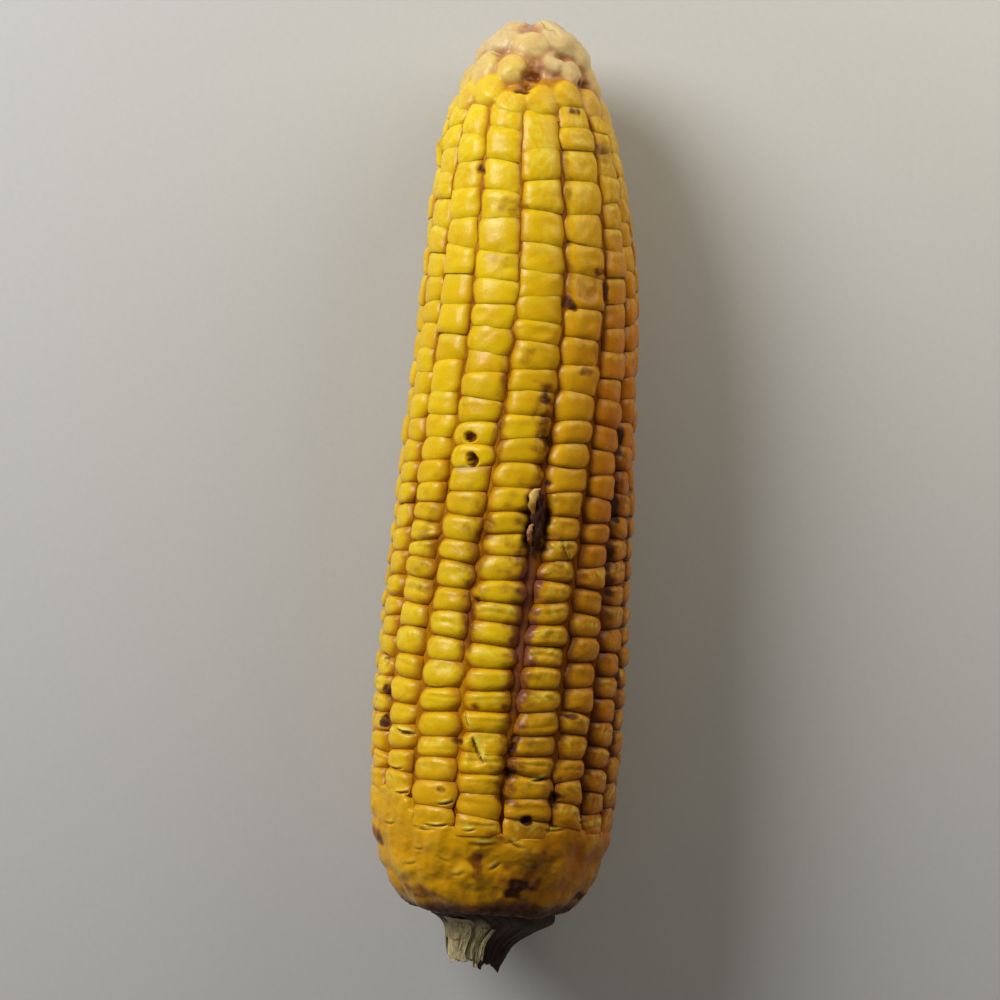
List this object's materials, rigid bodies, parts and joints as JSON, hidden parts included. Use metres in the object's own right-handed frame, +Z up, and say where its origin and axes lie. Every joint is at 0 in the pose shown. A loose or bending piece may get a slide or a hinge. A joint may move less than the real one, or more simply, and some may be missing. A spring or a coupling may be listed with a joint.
{
  "type": "grilled corn on the cob",
  "caption": "Husked, grilled ear of sweet corn lying on its side: plump yellow kernels in twisting rows, scorched in places, with a rounded tip and a short broken stem.",
  "frame": {"origin": "centre of the bounding box's underside, on the surface that the ear lies on", "axes": "+Z up through the browned side that shows, +Y along the ear from the stem to the tip, +X to the right of the ear seen from above with its tip away"},
  "size_m": [0.0481, 0.179, 0.0479],
  "materials": {
    "cooked_kernel": "cooked kernel skin, waxy and wet, browned and scorched in places",
    "woody_stem": "raw fibrous stem, dull"
  },
  "bodies": {
    "root": {"kernels": "cooked_kernel", "cob": "woody_stem"}
  },
  "joints": []
}
